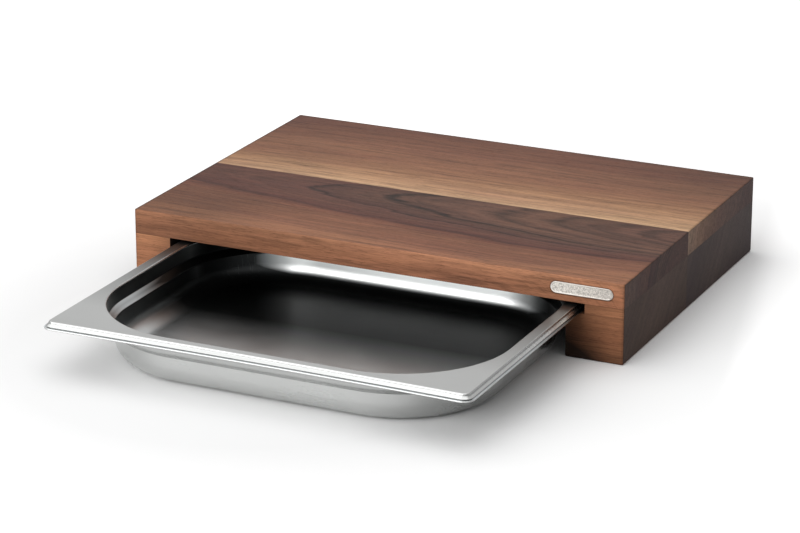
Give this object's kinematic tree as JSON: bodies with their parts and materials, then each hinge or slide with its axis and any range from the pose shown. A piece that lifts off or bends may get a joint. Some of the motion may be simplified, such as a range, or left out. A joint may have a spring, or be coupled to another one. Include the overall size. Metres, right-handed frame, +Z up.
{
  "type": "cutting board with drawer tray",
  "caption": "Walnut cutting board on two grooved runner legs, with a shallow pressed steel tray that slides out at the front under the slab.",
  "frame": {"origin": "on the table, at the centre of the floor area that the board and the pulled-out tray cover together", "axes": "+X to the user's right, +Y away from the user, towards the back of the board, +Z up"},
  "size_m": [0.39, 0.4584, 0.06],
  "materials": {
    "heartwood": "oiled walnut, satin",
    "sapwood": "oiled walnut with pale sapwood at the joint, satin",
    "leg_wood": "oiled walnut, satin",
    "badge_metal": "bare plate, finely brushed",
    "adhesive": "thin bonding film",
    "tray_steel": "pressed stainless sheet, satin flange, polished rim"
  },
  "bodies": {
    "board": {"front_stave": "heartwood", "rear_stave": "sapwood", "left_leg_front_block": "leg_wood", "left_leg_rear_block": "leg_wood", "right_leg_front_block": "leg_wood", "right_leg_rear_block": "leg_wood", "badge_plate": "badge_metal", "badge_adhesive": "adhesive"},
    "tray": {"steel_tray": "tray_steel"}
  },
  "joints": [
    {"name": "tray_slide", "type": "slide", "parent": "board", "child": "tray", "axis": [0, -1, 0], "range_m": [-0.191, 0.076]}
  ]
}
